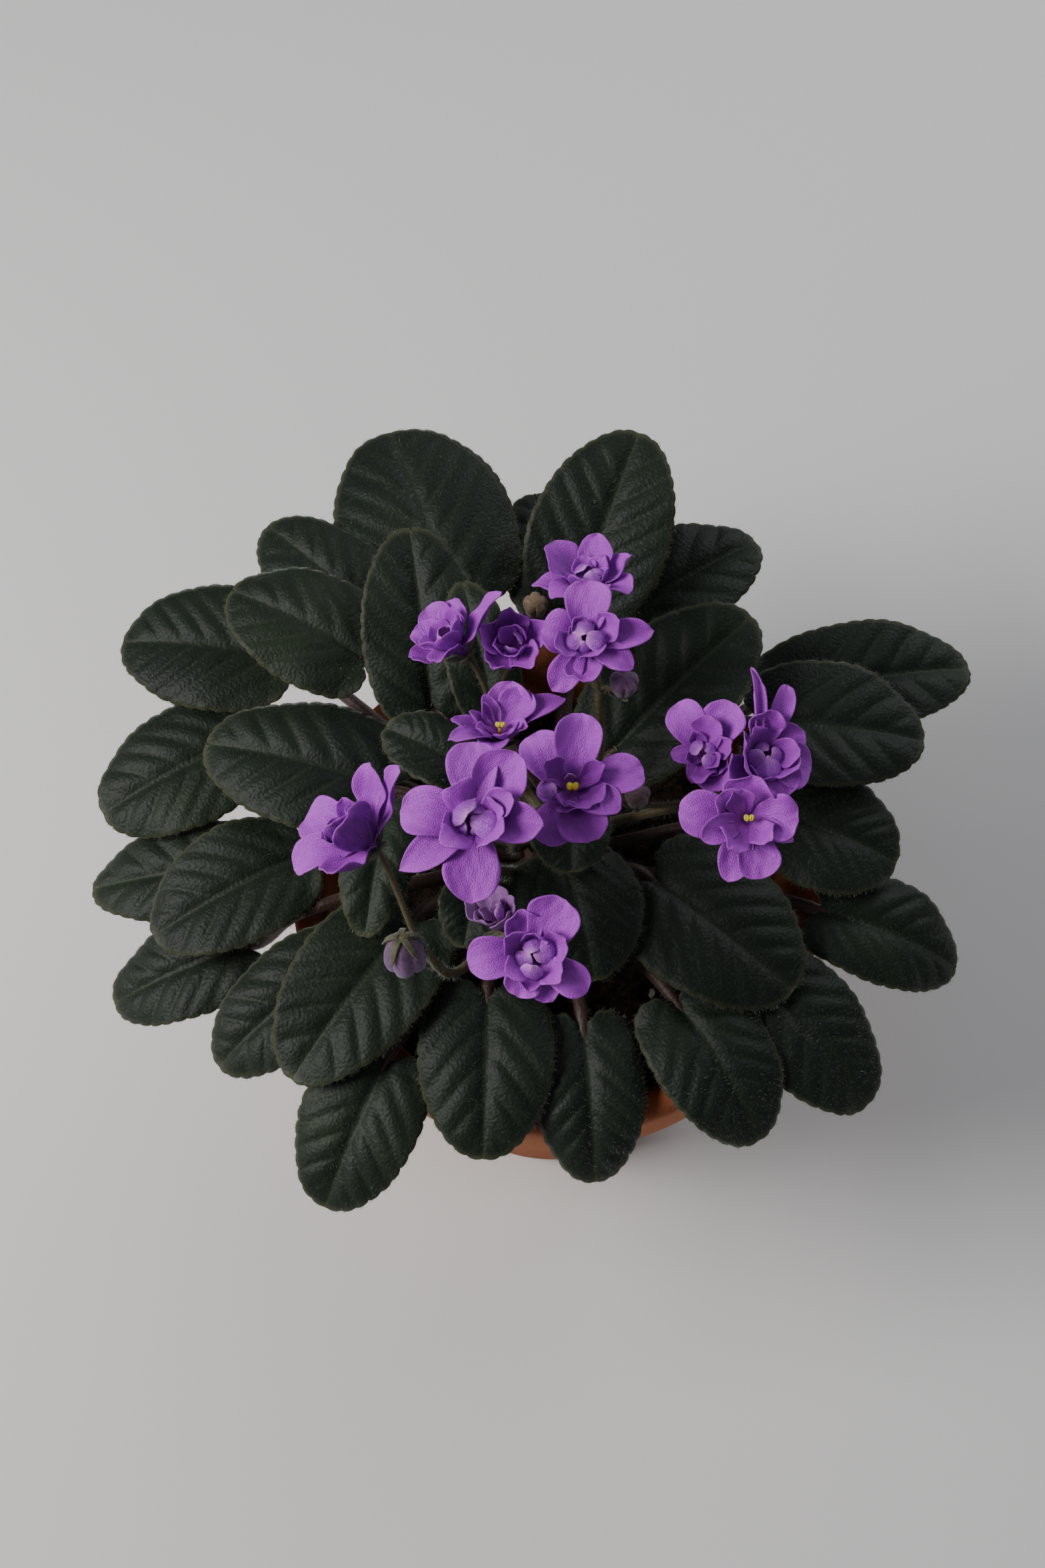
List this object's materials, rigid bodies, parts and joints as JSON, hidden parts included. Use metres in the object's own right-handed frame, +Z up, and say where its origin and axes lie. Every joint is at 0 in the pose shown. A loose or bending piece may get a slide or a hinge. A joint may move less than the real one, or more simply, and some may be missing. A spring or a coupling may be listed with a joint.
{
  "type": "potted african violet",
  "caption": "Flowering african violet in a round terracotta pot: a rosette of hairy heart-shaped leaves under clusters of double lavender blooms.",
  "frame": {"origin": "middle of the pot's flat underside", "axes": "+Z up along the pot's axis, -Y towards the front, +X to the right as seen from the front"},
  "size_m": [0.237, 0.2189, 0.2006],
  "materials": {
    "terracotta": "matte",
    "soil": "matte",
    "leaf": "matte",
    "stalk": "matte",
    "petal": "satin",
    "anther": "matte"
  },
  "bodies": {
    "root": {"pot": "terracotta", "soil": "soil", "crown": "stalk", "leaf_back_outer": "leaf", "leaf_back_tall": "leaf", "leaf_back_under": "leaf", "leaf_back_right": "leaf", "leaf_right_tall": "leaf", "leaf_right_far": "leaf", "leaf_right_mid": "leaf", "leaf_right_low": "leaf", "leaf_front_right": "leaf", "leaf_front_mid": "leaf", "leaf_front_left": "leaf", "leaf_front_low": "leaf", "leaf_left_low": "leaf", "leaf_left_far": "leaf", "leaf_left_big": "leaf", "leaf_left_back_far": "leaf", "leaf_left_back": "leaf", "leaf_back_left": "leaf", "leaf_back_left_tall": "leaf", "leaf_left_under": "leaf", "leaf_left_lowest": "leaf", "leaf_front_left_under": "leaf", "leaf_front_left_low": "leaf", "leaf_front_mid_low": "leaf", "leaf_front_right_low": "leaf", "leaf_right_front_low": "leaf", "leaf_right_under": "leaf", "leaf_young_front": "leaf", "leaf_young_left_front": "leaf", "leaf_young_back": "leaf", "leaf_young_left": "leaf", "leaf_young_front_left": "leaf", "stalk_left": "stalk", "stalk_front": "stalk", "stalk_middle": "stalk", "stalk_back": "stalk", "stalk_back_left": "stalk", "stalk_right": "stalk", "bloom_1": "petal", "bloom_2": "petal", "bloom_3": "petal", "bloom_4": "petal", "bloom_5": "petal", "anthers_5": "anther", "bloom_6": "petal", "anthers_6": "anther", "bloom_7": "petal", "bloom_8": "petal", "bloom_9": "petal", "bloom_10": "petal", "bloom_11": "petal", "anthers_11": "anther", "bloom_12": "petal", "bloom_13": "petal"}
  },
  "joints": []
}
